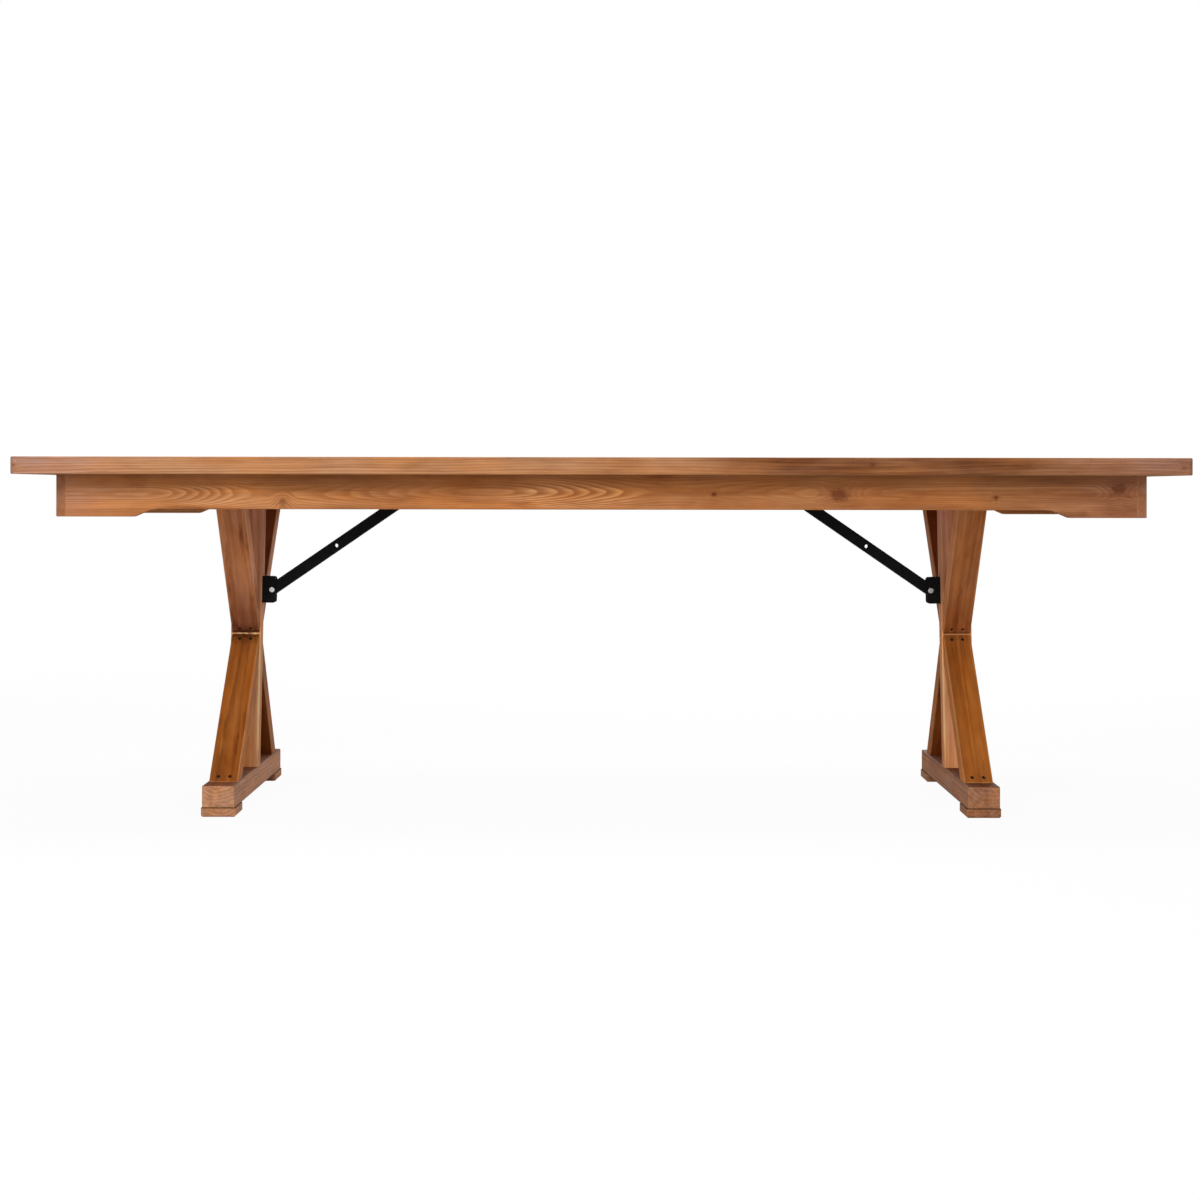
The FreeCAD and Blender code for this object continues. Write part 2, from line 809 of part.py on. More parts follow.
def tabletop_nodes():
    batten_holes = holes(batten_screws())
    bracket_holes = holes(top_bracket_screws())
    bracket_holes += [mirrored(hole) for hole in bracket_holes]
    leaf_holes = holes(fixed_leaf_screws)
    end_holes = holes(end_board_screws())
    nodes = {}
    for number in range(plank_count):
        board = bored(plank(number), batten_holes)
        if number == plank_count // 2:
            board = bored(board, bracket_holes)
        nodes["plank_%d" % (number + 1)] = [board]
    front = bored(long_apron(), end_holes)
    left_end = bored(end_apron(), end_holes)
    left_batten = batten(hinge_batten_x, hinge_batten_width, hinge_batten_thickness)
    left_batten = bored(left_batten, batten_holes + leaf_holes)
    centre_batten = batten(0, centre_batten_width, centre_batten_thickness)
    nodes["apron_front"] = [front]
    nodes["apron_rear"] = [flipped(front)]
    nodes["apron_left_end"] = [left_end]
    nodes["apron_right_end"] = [mirrored(left_end)]
    nodes["apron_end_screws"] = solids(end_board_screws())
    nodes["corner_blocks"] = corner_blocks()
    nodes["left_hinge_batten"] = [left_batten]
    nodes["right_hinge_batten"] = [mirrored(left_batten)]
    nodes["centre_batten"] = [bored(centre_batten, batten_holes)]
    nodes["batten_screws"] = solids(batten_screws())
    nodes["left_top_bracket"] = [top_bracket()]
    nodes["right_top_bracket"] = [mirrored(top_bracket())]
    nodes["top_bracket_screws"] = both_sides(top_bracket_screws())
    leaves = [leaf(y, False) for y in hinge_middles]
    pins = [hinge_pin(y) for y in hinge_middles]
    nodes["hinge_fixed_leaves"] = leaves + [mirrored(piece) for piece in leaves]
    nodes["hinge_pins"] = pins + [mirrored(piece) for piece in pins]
    nodes["hinge_fixed_screws"] = both_sides(fixed_leaf_screws)
    return nodes


def left_leg_nodes():
    lower_holes = holes(lower_arm_screws)
    upper_holes = holes(upper_arm_screws)
    rear_lower_holes = [flipped(hole) for hole in lower_holes]
    rear_upper_holes = [flipped(hole) for hole in upper_holes]
    all_arm_holes = lower_holes + upper_holes + rear_lower_holes + rear_upper_holes
    rail_holes = all_arm_holes + holes(post_screws()) + holes(pad_screws())
    front_lower = bored(arm(lower_toe, arm_tip), lower_holes)
    front_upper = bored(arm(upper_toe, arm_tip), upper_holes)
    front_screws = solids(lower_arm_screws + upper_arm_screws)
    frame_screws = front_screws + [flipped(piece) for piece in front_screws]
    post_holes = all_arm_holes + holes(post_screws()) + holes(post_bracket_screws())
    top_rail_holes = rail_holes + holes(moving_leaf_screws)
    return {
        "foot_rail": [bored(rail(foot_rail_x, pad_height, True), rail_holes)],
        "foot_pads": [bored(pad, holes(pad_screws())) for pad in foot_pads()],
        "post": [bored(post(), post_holes)],
        "front_lower_arm": [front_lower],
        "front_upper_arm": [front_upper],
        "rear_lower_arm": [flipped(front_lower)],
        "rear_upper_arm": [flipped(front_upper)],
        "top_rail": [bored(rail(top_rail_x, top_rail_bottom, False), top_rail_holes)],
        "frame_screws": frame_screws + solids(post_screws()) + solids(pad_screws()),
        "hinge_leaves": [leaf(y, True) for y in hinge_middles],
        "hinge_screws": solids(moving_leaf_screws),
        "post_bracket": [post_bracket()],
        "post_bracket_screws": solids(post_bracket_screws()),
        "pivot_bolt": [pivot_bolt()],
        "pivot_nut": [pivot_nut()],
        "brace_tube": [brace_tube()],
        "cross_bolt": [cross_bolt()],
        "wing_nut": [wing_nut()],
    }


def all_nodes():
    nodes = tabletop_nodes()
    for name, pieces in left_leg_nodes().items():
        nodes["left_" + name] = pieces
        nodes["right_" + name] = [mirrored(piece) for piece in pieces]
    return nodes


os.makedirs("parts", exist_ok=True)
for name, pieces in all_nodes().items():
    shape = pieces[0] if len(pieces) == 1 else Part.makeCompound(pieces)
    shape.exportStep("parts/%s.step" % name)
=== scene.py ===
import json
import math
from collections import namedtuple

import bpy
from mathutils import Matrix, Vector


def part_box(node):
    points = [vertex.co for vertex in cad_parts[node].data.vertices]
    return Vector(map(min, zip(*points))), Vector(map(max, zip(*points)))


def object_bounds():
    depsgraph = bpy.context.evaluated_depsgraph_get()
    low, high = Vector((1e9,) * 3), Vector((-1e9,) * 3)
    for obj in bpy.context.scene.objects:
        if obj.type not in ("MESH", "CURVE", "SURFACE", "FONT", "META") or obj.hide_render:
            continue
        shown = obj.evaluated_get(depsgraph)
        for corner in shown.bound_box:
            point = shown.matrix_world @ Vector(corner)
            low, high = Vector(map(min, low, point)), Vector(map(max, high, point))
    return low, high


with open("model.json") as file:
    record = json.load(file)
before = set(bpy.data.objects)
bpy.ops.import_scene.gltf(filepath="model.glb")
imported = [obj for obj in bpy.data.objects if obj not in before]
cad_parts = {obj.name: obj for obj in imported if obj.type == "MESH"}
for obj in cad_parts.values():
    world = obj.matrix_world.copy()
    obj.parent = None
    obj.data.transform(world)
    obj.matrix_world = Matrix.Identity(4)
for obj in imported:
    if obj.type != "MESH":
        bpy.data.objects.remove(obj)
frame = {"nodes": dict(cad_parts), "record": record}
cad_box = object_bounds()
nodes = frame["nodes"]

# Sawbuck folding table in stained pine with black steel braces. Lengths are in metres, in the frame's axes.

LENGTH_AXIS = Vector((1, 0, 0))
WIDTH_AXIS = Vector((0, 1, 0))
HEIGHT_AXIS = Vector((0, 0, 1))

# Sides of the table: the number of an axis and the direction along it
LEFT = (0, -1)
RIGHT = (0, 1)
FRONT = (1, -1)
BACK = (1, 1)
UP = (2, 1)

# Camera: level, square to the long side, with the frame shifted down to where the table stands
CAMERA_PLACE = (0.0, -5.573, 0.6926)
CAMERA_LENS = 73.6
CAMERA_ROLL = math.radians(-0.085)
IMAGE_SIDE = 1200
HORIZON_ROW = 490.8
MIDDLE_COLUMN = 601.5

# Tone curve of a display: a straight toe, then a power
FULL_LEVEL = 255
TOE_END = 0.04045
TOE_SLOPE = 12.92
CURVE_OFFSET = 0.055
CURVE_POWER = 2.4


def srgb(red, green, blue):
    """Linear colour of an 8-bit display colour."""
    def linear(level):
        share = level / FULL_LEVEL
        if share <= TOE_END:
            return share / TOE_SLOPE
        return ((share + CURVE_OFFSET) / (1 + CURVE_OFFSET)) ** CURVE_POWER

    return (linear(red), linear(green), linear(blue), 1.0)


# Stains, as the colour of the soft early wood and of the hard late wood in each growth ring. The apron's
# soft wood drank more of the stain, so that its late wood is the lighter of the two.
STAINS = {
    "top": (srgb(190, 135, 90), srgb(138, 84, 48)),
    "apron": (srgb(172, 110, 62), srgb(226, 164, 106)),
    "left_upper_arm": (srgb(190, 122, 80), srgb(130, 74, 42)),
    "right_upper_arm": (srgb(181, 110, 60), srgb(126, 68, 30)),
    "lower_arm": (srgb(172, 101, 40), srgb(106, 57, 18)),
    "post": (srgb(226, 154, 100), srgb(166, 100, 58)),
    "foot": (srgb(202, 146, 106), srgb(146, 94, 62)),
    "batten": (srgb(172, 116, 70), srgb(124, 76, 40)),
}
KNOT_COLOUR = srgb(98, 42, 20)
# Dark brown of dirt and soaked end grain, also of the painted shadow under the top
DIRT_AND_SHADOW_COLOUR = srgb(58, 30, 14)
RUBBED_COLOUR = srgb(214, 160, 108)
BARE_COLOUR = srgb(246, 204, 152)
# Near-white of the posts' worn edges, partly a painted highlight
WORN_AND_HIGHLIGHT_COLOUR = srgb(254, 222, 164)
WHITE = (1.0, 1.0, 1.0, 1.0)

# How fast red, green and blue fall as the stain lies thicker
STAIN_DEPTH = (1.0, 1.28, 1.5)

# Factors on red, green and blue where the stain has turned warm, cool or rosy
WARM = (1.05, 0.95, 0.8, 1.0)
COOL = (0.96, 1.03, 1.24, 1.0)
ROSY = (0.93, 0.99, 1.42, 1.0)

# Marks on a board. A knot grows through the board's thickness or its width, and lies across the other one.
Knot = namedtuple("Knot", "along across radius strength through", defaults=("thickness",))
Line = namedtuple("Line", "level half_width ragged strength broken colour")
Rub = namedtuple("Rub", "strength width colour")

# Middle of a raw noise, and the values of a centred one between which a finish goes from one look to another
NOISE_MIDDLE = 0.5
NOISE_SPREAD = (-0.22, 0.22)
NOISE_REACH = (-0.3, 0.3)


class Finish:
    """A material under construction: each method adds a node and gives its output."""

    def __init__(self, name):
        self.material = bpy.data.materials.new(name)
        self.material.use_nodes = True
        self.tree = self.material.node_tree
        self.shader = self.tree.nodes["Principled BSDF"]

    def put(self, socket, value):
        if isinstance(value, bpy.types.NodeSocket):
            self.tree.links.new(value, socket)
        else:
            socket.default_value = value

    def add(self, kind, inputs, **settings):
        node = self.tree.nodes.new(kind)
        for key, value in settings.items():
            setattr(node, key, value)
        for key, value in inputs.items():
            self.put(node.inputs[key], value)
        return node

    def set(self, **inputs):
        for key, value in inputs.items():
            self.put(self.shader.inputs[key.replace("_", " ")], value)

    def math(self, operation, first, second=0.0):
        return self.add("ShaderNodeMath", {0: first, 1: second}, operation=operation).outputs[0]

    def total(self, *terms):
        """Sum of value and share pairs."""
        result = 0.0
        for value, share in terms:
            inputs = {0: value, 1: share, 2: result}
            result = self.add("ShaderNodeMath", inputs, operation="MULTIPLY_ADD").outputs[0]
        return result

    def vector(self, operation, first, second=(0, 0, 0)):
        node = self.add("ShaderNodeVectorMath", {0: first, 1: second}, operation=operation)
        return node.outputs["Value" if operation in ("LENGTH", "DOT_PRODUCT") else "Vector"]

    def split(self, vector):
        return self.add("ShaderNodeSeparateXYZ", {0: vector}).outputs

    def join(self, x, y, z):
        return self.add("ShaderNodeCombineXYZ", {0: x, 1: y, 2: z}).outputs[0]

    def smooth(self, value, start, end, low=0.0, high=1.0):
        """Eased step from low at start to high at end."""
        inputs = {"Value": value, "From Min": start, "From Max": end, "To Min": low, "To Max": high}
        return self.add("ShaderNodeMapRange", inputs, interpolation_type="SMOOTHSTEP").outputs[0]

    def noise(self, vector, stretch, seed, detail=2.0, roughness=0.5):
        """Soft noise centred on zero, with so many features per metre along each axis."""
        scaled = self.vector("MULTIPLY", vector, stretch)
        inputs = {"Vector": scaled, "W": seed, "Scale": 1.0, "Detail": detail, "Roughness": roughness}
        node = self.add("ShaderNodeTexNoise", inputs, noise_dimensions="4D")
        return self.math("SUBTRACT", node.outputs["Fac"], NOISE_MIDDLE)

    def mix(self, share, first, second, blend="MIX"):
        inputs = {"Factor_Float": share, "A_Color": first, "B_Color": second}
        node = self.add("ShaderNodeMix", {}, data_type="RGBA", blend_type=blend)
        for socket in node.inputs:
            if socket.identifier in inputs:
                self.put(socket, inputs[socket.identifier])
        return next(socket for socket in node.outputs if socket.identifier == "Result_Color")

    def bump(self, height, distance, strength):
        node = self.add("ShaderNodeBump", {"Height": height, "Distance": distance, "Strength": strength})
        self.put(self.shader.inputs["Normal"], node.outputs[0])

    def object_place(self):
        return self.add("ShaderNodeTexCoord", {}).outputs["Object"]

    def object_normal(self):
        return self.add("ShaderNodeTexCoord", {}).outputs["Normal"]


class Board:
    """The straight frame of a timber: x along its grain, y across its wide face, z through it."""

    def __init__(self, node, along, across):
        along = along.normalized()
        across = (across - along * across.dot(along)).normalized()
        axes = (along, across, along.cross(across))
        corners = [vertex.co for vertex in nodes[node].data.vertices]
        spans = []
        for axis in axes:
            places = [corner.dot(axis) for corner in corners]
            spans.append((min(places), max(places)))
        middles = [(low + high) / 2 for low, high in spans]
        self.along = along
        self.half = Vector([(high - low) / 2 for low, high in spans])
        self.centre = sum((axis * middle for axis, middle in zip(axes, middles)), Vector())
        self.turn = Matrix(axes).transposed().to_euler()


# Noises in the wood: features per metre along each axis, step of the seed, detail and roughness
Grain = namedtuple("Grain", "stretch step detail roughness", defaults=(2.0, 0.5))
GRAINS = {
    "pith_across": Grain((1.3, 5, 5), 0.0, 1.5),
    "pith_through": Grain((1.1, 4, 4), 1.7, 1.5),
    "ring_wobble": Grain((7, 60, 60), 3.1),
    "ring_width": Grain((0.8, 24, 24), 4.3, 1.0),
    "clearness": Grain((2.2, 40, 40), 5.9, 1.0),
    "fibre": Grain((9, 420, 420), 7.0, 3.0, 0.6),
    "streak": Grain((2.4, 90, 90), 8.0, 3.0, 0.6),
    "blotch": Grain((6, 20, 20), 9.0, 3.0, 0.6),
    "patch": Grain((7, 34, 34), 10.0, 3.0, 0.6),
    "warmth": Grain((5, 28, 28), 11.0, 3.0, 0.6),
    "edge": Grain((16, 60, 60), 12.0, 3.0, 0.6),
    "line": Grain((160, 160, 0), 15.0, 3.0, 0.65),
    "knot": Grain((130, 130, 130), 20.0),
    "line_wear": Grain((90, 90, 0), 25.0),
}

# Growth rings: how far the pith strays through the board against across it, by how many rings the noises
# shift them, the shares of a ring where its late wood rises and falls, the least and most contrast, and
# where the gain of a figure ends
THROUGH_WANDER_SHARE = 2.6
RING_WOBBLE = 1.1
RING_UNEVENNESS = 2.4
RING_RISE = (0.1, 0.84)
RING_FALL = (0.84, 1.0)
CONTRAST_SHARES = (0.45, 1.4)
FIGURE_RIM_SHARES = (0.65, 1.1)

# Knots: how slowly they end along the grain, how far they bend the rings and by how many, and where the dark
# heart and the faint halo end, as shares of the radius
KNOT_GRAIN_SHARE = 0.75
KNOT_BEND_SHARE = 3.2
KNOT_BEND_RINGS = 3.0
KNOT_HEART_SHARES = (0.45, 1.3)
KNOT_HALO_SHARES = (0.8, 2.4)
KNOT_HALO_STRENGTH = 0.3

# Stain: how much fibres and streaks change its tone, the noise at which a dark patch starts and is full,
# and the darkest tone
FIBRE_TONE = 0.5
STREAK_TONE = 0.75
PATCH_RANGE = (0.04, 0.3)
LEAST_TONE = 0.05

# How squarely a surface faces a side of the table, or the board's end, before it takes that side's look
SIDE_FACING = (0.3, 0.6)
END_FACING = (0.75, 0.95)

# Wear, dirt and painted light: width and raggedness of rubbed edges, the shares of rubbed edges, worn
# stretches (on the posts also a painted highlight) and lines that have the full strength, dirt in the joints
# and how far it reaches, and the noise at which a line breaks
RUB_WIDTH = 0.0032
RUB_RAGGED = 0.004
RUB_CORE_SHARE = 0.12
WORN_CORE_SHARE = 0.5
LINE_CORE_SHARE = 0.5
JOINT_DIRT = 0.75
JOINT_GAP = (0.0003, 0.0013)
LINE_BREAK_RANGE = (-0.16, 0.04)

# Surface of the wood: matt, with raised fibres and rings
WOOD_ROUGHNESS = (0.6, 0.78)
WOOD_SPECULAR = 0.08
FIBRE_RELIEF = 0.6
RING_RELIEF = 0.4
WOOD_RELIEF = 0.0003
WOOD_BUMP = 0.4


class Wood(Finish):
    """Stained pine cut from a log, with growth rings about a pith line, knots and rubbed edges."""

    # Places along a board are measured from its middle. A change along it has its start, its end, and either
    # its amount or the values before and after it.
    plain = {
        # Growth rings: place of the pith across and through the board, how far it strays, width of a ring,
        # and how strongly the late wood shows
        "pith": (0.0, -0.09),
        "wander": 0.012,
        "ring": 0.0036,
        "contrast": 0.4,
        # Changes along the board: how close the rings lie, and the pith moved across the board and through it
        "squeeze": (0.0, 1.0, 1.0, 1.0),
        "drift": (0.0, 1.0, 0.0, 0.0),
        "ramps": (),
        # Ovals where the rings show best: middle, half length, half height and gain in contrast
        "figures": (),
        "knots": (),
        # Tone of the stain: all over, in blotches and in dark patches
        "shade": 1.0,
        "blotch": 0.8,
        "patches": 0.24,
        # Changes of tone and of colour along the board, and whether they show on the table's front alone
        "fades": (),
        "tints": (),
        "front_only": False,
        # Factors on the tone of the surfaces that face a side of the table, as painted shade and painted
        # light
        "turned": (),
        # Wear, dirt and painted light: rubbed edges, a worn stretch of the long edges that also has a painted
        # highlight (middle, half length and share outside it), soaked end grain, dirty joints at the board's
        # sides, and lines at a level, among them the painted shadow under the top
        "rub": Rub(0.16, RUB_WIDTH, RUBBED_COLOUR),
        "worn": (),
        "end_share": 0.25,
        "joints": (),
        "lines": (),
    }

    def __init__(self, node, stain, seed, **style):
        super().__init__("wood_" + node)
        self.style = {**self.plain, **style}
        self.seed = seed
        self.board = board_of(node)
        self.object = self.object_place()
        inputs = {"Vector": self.object, "Location": self.board.centre, "Rotation": self.board.turn}
        self.place = self.add("ShaderNodeMapping", inputs, vector_type="TEXTURE").outputs[0]
        self.x, self.y, self.z = self.split(self.place)
        late = self.late_wood()
        fibre = self.grain("fibre")
        colour = self.stained(STAINS[stain], late, fibre)
        colour = self.knotted(colour)
        colour = self.soaked(colour)
        colour = self.rubbed(colour)
        colour = self.jointed(colour)
        colour = self.lined(colour)
        self.set(Base_Color=colour, Specular_IOR_Level=WOOD_SPECULAR)
        self.set(Roughness=self.smooth(fibre, *NOISE_REACH, *WOOD_ROUGHNESS))
        self.bump(self.total((fibre, FIBRE_RELIEF), (late, RING_RELIEF)), WOOD_RELIEF, WOOD_BUMP)

    def grain(self, name, place=None, number=0):
        """One of the noises in the wood, in the board's frame if no other place is given."""
        if place is None:
            place = self.place
        grain = GRAINS[name]
        seed = self.seed + grain.step + number
        return self.noise(place, grain.stretch, seed, grain.detail, grain.roughness)

    def late_wood(self):
        """How much of the late wood of the growth rings a place shows."""
        style = self.style
        pith_across, pith_through = style["pith"]
        wander_across = (self.grain("pith_across"), style["wander"])
        wander_through = (self.grain("pith_through"), THROUGH_WANDER_SHARE * style["wander"])
        drift = (self.smooth(self.x, *style["drift"]), -1.0)
        off_y = self.total((self.y, 1.0), wander_across, drift, (1.0, -pith_across))
        off_y = self.math("MULTIPLY", off_y, self.smooth(self.x, *style["squeeze"]))
        off_z = self.total((self.z, 1.0), wander_through, (1.0, -pith_through))
        for start, end, rise in style["ramps"]:
            off_z = self.math("ADD", off_z, self.smooth(self.x, start, end, 0.0, rise))
        radius = self.vector("LENGTH", self.join(0.0, off_y, off_z))
        wobble = (self.grain("ring_wobble"), RING_WOBBLE)
        uneven = (self.grain("ring_width"), RING_UNEVENNESS)
        rings = self.total((radius, 1.0 / style["ring"]), wobble, uneven)
        for knot in style["knots"]:
            near = self.knot_distance(knot)
            bend = self.smooth(near, 0.0, KNOT_BEND_SHARE * knot.radius, KNOT_BEND_RINGS, 0.0)
            rings = self.math("ADD", rings, bend)
        part = self.math("FRACT", rings)
        rise = self.smooth(part, *RING_RISE)
        fall = self.smooth(part, *RING_FALL, 1.0, 0.0)
        late = self.math("MULTIPLY", rise, fall)
        least, most = [share * style["contrast"] for share in CONTRAST_SHARES]
        contrast = self.smooth(self.grain("clearness"), *NOISE_SPREAD, least, most)
        for middle, half_length, half_height, gain in style["figures"]:
            along = self.math("DIVIDE", self.math("SUBTRACT", self.x, middle), half_length)
            across = self.math("DIVIDE", self.y, half_height)
            near = self.vector("LENGTH", self.join(along, across, 0.0))
            contrast = self.math("ADD", contrast, self.smooth(near, *FIGURE_RIM_SHARES, gain, 0.0))
        return self.math("MULTIPLY", late, contrast)

    def knot_distance(self, knot):
        """Distance from the line along which a knot grows."""
        if knot.through == "width":
            middle = (knot.along, 0.0, knot.across)
            spread = (KNOT_GRAIN_SHARE, 0.0, 1.0)
        else:
            middle = (knot.along, knot.across, 0.0)
            spread = (KNOT_GRAIN_SHARE, 1.0, 0.0)
        offset = self.vector("MULTIPLY", self.vector("SUBTRACT", self.place, middle), spread)
        return self.vector("LENGTH", offset)

    def stained(self, colours, late, fibre):
        """Stain over the rings, with streaks, blotches, dark patches, changes along the board, and painted
        side shading.
        """
        style = self.style
        colour = self.mix(late, *colours)
        hue = self.mix(self.smooth(self.grain("warmth"), *NOISE_SPREAD), WARM, COOL)
        colour = self.mix(1.0, colour, hue, "MULTIPLY")
        shown = self.facing(FRONT) if style["front_only"] else 1.0
        for start, end, tint in style["tints"]:
            share = self.math("MULTIPLY", self.smooth(self.x, start, end), shown)
            colour = self.mix(share, colour, self.mix(1.0, colour, tint, "MULTIPLY"))
        streak = (self.grain("streak"), STREAK_TONE)
        blotch = (self.grain("blotch"), style["blotch"])
        tone = self.total((fibre, FIBRE_TONE), streak, blotch, (1.0, style["shade"]))
        for start, end, change in style["fades"]:
            tone = self.total((self.smooth(self.x, start, end, 0.0, change), shown), (tone, 1.0))
        patch = self.smooth(self.grain("patch"), *PATCH_RANGE)
        tone = self.total((tone, 1.0), (patch, -style["patches"]))
        for side, shade in style["turned"]:
            tone = self.math("MULTIPLY", tone, self.smooth(self.facing(side), 0.0, 1.0, 1.0, shade))
        tone = self.math("MAXIMUM", tone, LEAST_TONE)
        depths = [self.math("POWER", tone, depth) for depth in STAIN_DEPTH]
        return self.mix(1.0, colour, self.join(*depths), "MULTIPLY")

    def facing(self, side):
        """One where the surface is turned to a side of the table."""
        axis, sign = side
        toward = self.math("MULTIPLY", self.split(self.object_normal())[axis], sign)
        return self.smooth(toward, *SIDE_FACING)

    def knotted(self, colour):
        """Knots with a dark heart and a faint halo."""
        for number, knot in enumerate(self.style["knots"]):
            ragged = self.grain("knot", number=number)
            near = self.total((self.knot_distance(knot), 1.0), (ragged, knot.radius))
            heart_rim = [share * knot.radius for share in KNOT_HEART_SHARES]
            halo_rim = [share * knot.radius for share in KNOT_HALO_SHARES]
            heart = self.smooth(near, *heart_rim, knot.strength, 0.0)
            halo = self.smooth(near, *halo_rim, KNOT_HALO_STRENGTH * knot.strength, 0.0)
            colour = self.mix(self.math("MAXIMUM", heart, halo), colour, KNOT_COLOUR)
        return colour

    def soaked(self, colour):
        """End grain that has drunk more of the stain."""
        facing = self.vector("DOT_PRODUCT", self.object_normal(), self.board.along)
        end = self.smooth(self.math("ABSOLUTE", facing), *END_FACING)
        return self.mix(self.math("MULTIPLY", end, self.style["end_share"]), colour, DIRT_AND_SHADOW_COLOUR)

    def rubbed(self, colour):
        """Stain worn thin along the edges of the board, or mostly in one stretch of its long edges, also a
        painted highlight.
        """
        gaps = self.vector("SUBTRACT", self.board.half, self.vector("ABSOLUTE", self.place))
        x, y, z = self.split(gaps)
        if self.style["worn"]:
            edge = self.math("ADD", y, z)
        else:
            widest = self.math("MAXIMUM", self.math("MAXIMUM", x, y), z)
            edge = self.math("SUBTRACT", self.math("ADD", self.math("ADD", x, y), z), widest)
        edge = self.total((edge, 1.0), (self.grain("edge"), RUB_RAGGED))
        rub = self.style["rub"]
        share = self.smooth(edge, RUB_CORE_SHARE * rub.width, rub.width, rub.strength, 0.0)
        for middle, half_length, outside in self.style["worn"]:
            far = self.math("ABSOLUTE", self.math("SUBTRACT", self.x, middle))
            stretch = self.smooth(far, WORN_CORE_SHARE * half_length, half_length, 1.0, outside)
            share = self.math("MULTIPLY", share, stretch)
        return self.mix(share, colour, rub.colour)

    def jointed(self, colour):
        """Dirt in the glued joints along the board's sides."""
        for side in self.style["joints"]:
            gap = self.total((self.y, -side), (1.0, self.board.half.y))
            colour = self.mix(self.smooth(gap, *JOINT_GAP, JOINT_DIRT, 0.0), colour, DIRT_AND_SHADOW_COLOUR)
        return colour

    def lined(self, colour):
        """Bare or dirty lines along the joints at a level, and the painted shadow under the top."""
        height = self.split(self.object)[2]
        for number, line in enumerate(self.style["lines"]):
            ragged = (self.grain("line", self.object, number), line.ragged)
            gap = self.math("ABSOLUTE", self.total((height, 1.0), ragged, (1.0, -line.level)))
            near = self.smooth(gap, LINE_CORE_SHARE * line.half_width, line.half_width, 1.0, 0.0)
            wear = self.grain("line_wear", self.object, number)
            least = line.strength * (1 - line.broken)
            whole = self.smooth(wear, *LINE_BREAK_RANGE, least, line.strength)
            colour = self.mix(self.math("MULTIPLY", near, whole), colour, line.colour)
        return colour


# Directions and levels of the timbers
foot_low, foot_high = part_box("left_foot_rail")
rail_low, rail_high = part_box("left_top_rail")
leg_rise = (rail_low.z + rail_high.z - foot_low.z - foot_high.z) / 2
leg_lean = (rail_low.x + rail_high.x - foot_low.x - foot_high.x) / 2 / leg_rise
crossing_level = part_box("left_front_lower_arm")[1].z
pad_level = foot_low.z


def lean_of(node):
    """How far a leg frame leans along the table for each metre of its rise."""
    return leg_lean if node.startswith("left") else -leg_lean


def arm_direction(node):
    """Upward along a slanted arm. Lower arms rise towards the post, upper arms away from it."""
    low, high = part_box(node)
    rise = high.z - low.z
    run = high.y - low.y
    backward = ("front" in node) == ("lower" in node)
    return Vector((lean_of(node) * rise, run if backward else -run, rise))


def board_of(node):
    """The frame of a wooden piece, by its name."""
    if node.startswith("plank"):
        return Board(node, LENGTH_AXIS, WIDTH_AXIS)
    if node in ("apron_front", "apron_rear"):
        return Board(node, LENGTH_AXIS, HEIGHT_AXIS)
    if node.startswith("apron"):
        return Board(node, WIDTH_AXIS, HEIGHT_AXIS)
    if node.endswith("arm"):
        return Board(node, arm_direction(node), LENGTH_AXIS)
    if node.endswith("post"):
        return Board(node, Vector((lean_of(node), 0, 1)), LENGTH_AXIS)
    if node == "corner_blocks":
        return Board(node, HEIGHT_AXIS, LENGTH_AXIS)
    return Board(node, WIDTH_AXIS, LENGTH_AXIS)


# Seeds of the noises: one for each board, a step from the next board of its kind
SEED_STEP = 3.0
PLANK_SEED = 1.0
FRONT_APRON_SEED = 31.0
REAR_APRON_SEED = 34.0
END_APRON_SEED = 37.0
BATTEN_SEED = 44.0
CORNER_BLOCK_SEED = 53.0


def dress(node, finish):
    for slot in nodes[node].material_slots:
        slot.material = finish.material


def dress_wood(node, stain, seed, **style):
    dress(node, Wood(node, stain, seed, **style))


# Stretches of the long boards' ends where the stain has turned rosy, and one that ends before a board starts,
# which leaves it rosy all over
END_TINTS = ((-0.9, -1.2, ROSY), (0.85, 1.15, ROSY))
ALL_ROSY = ((-2.0, -1.0, ROSY),)

# Planks: alternate ones have the pith below and above, and their shade goes up and down across the table
PLANK_PITH = (0.012, -0.06)
PLANK_WANDER = 0.022
PLANK_SHADE_CHANGE = 0.1
PLANK_SHADE_TURN = 2.4
PLANK_KNOTS = (
    (Knot(-0.72, 0.021, 0.011, 0.6), Knot(0.31, -0.034, 0.008, 0.7)),
    (Knot(-0.18, 0.03, 0.009, 0.7), Knot(0.86, -0.012, 0.013, 0.6)),
    (Knot(-0.95, -0.02, 0.008, 0.7), Knot(0.12, 0.04, 0.012, 0.6)),
    (Knot(-0.44, 0.012, 0.014, 0.6), Knot(0.98, 0.035, 0.008, 0.7)),
    (Knot(-0.8, 0.038, 0.01, 0.65), Knot(0.42, -0.008, 0.011, 0.6)),
    (Knot(-0.27, -0.036, 0.012, 0.6), Knot(1.04, -0.02, 0.01, 0.65)),
    (Knot(-0.6, -0.015, 0.009, 0.7), Knot(0.74, 0.022, 0.013, 0.6)),
)

# Front edge of the top: a knot, dark marks at both ends, and a darker stretch right of the middle
TOP_EDGE_KNOTS = (
    Knot(0.560, 0.004, 0.0045, 0.7, "width"),
    Knot(-1.214, 0.0, 0.0035, 0.5, "width"),
    Knot(1.203, -0.002, 0.004, 0.4, "width"),
)
TOP_EDGE = {
    "shade": 1.15,
    "fades": ((-1.2, -0.5, -0.21), (0.1, 0.42, -0.54), (0.74, 1.0, 0.4)),
    "tints": END_TINTS,
    "front_only": True,
}


